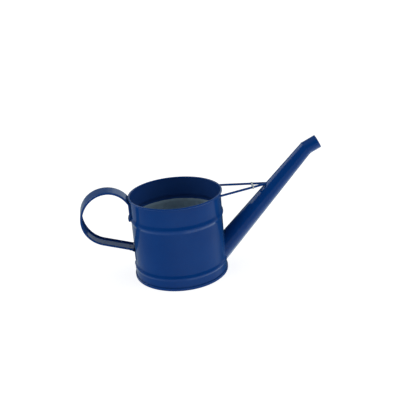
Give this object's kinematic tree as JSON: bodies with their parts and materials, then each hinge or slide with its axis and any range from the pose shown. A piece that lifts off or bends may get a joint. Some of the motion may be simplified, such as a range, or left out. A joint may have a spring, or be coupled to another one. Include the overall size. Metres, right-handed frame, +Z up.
{
  "type": "watering can",
  "caption": "Round sheet-metal watering can with beaded walls, long tapered spout, wire brace and D-shaped strap handle.",
  "frame": {"origin": "centre of the base, on the surface the can stands on", "axes": "+X towards the spout, -X towards the handle, +Z up; the XZ plane is the plane of symmetry"},
  "size_m": [0.3883, 0.1528, 0.2075],
  "materials": {
    "blue_paint": "gloss blue paint over tinned steel",
    "bare_metal": "bare galvanised steel, dull"
  },
  "bodies": {
    "root": {"body_shell": "blue_paint", "rim_wire": "bare_metal", "bottom_pan": "blue_paint", "spout_tube": "blue_paint", "spout_tip": "blue_paint", "spout_solder": "blue_paint", "elbow_solder": "blue_paint", "handle_strap": "blue_paint", "brace_rod_left": "blue_paint", "brace_rod_right": "blue_paint", "brace_clip": "bare_metal", "brace_apex_solder": "blue_paint", "brace_foot_solder": "blue_paint"}
  },
  "joints": []
}
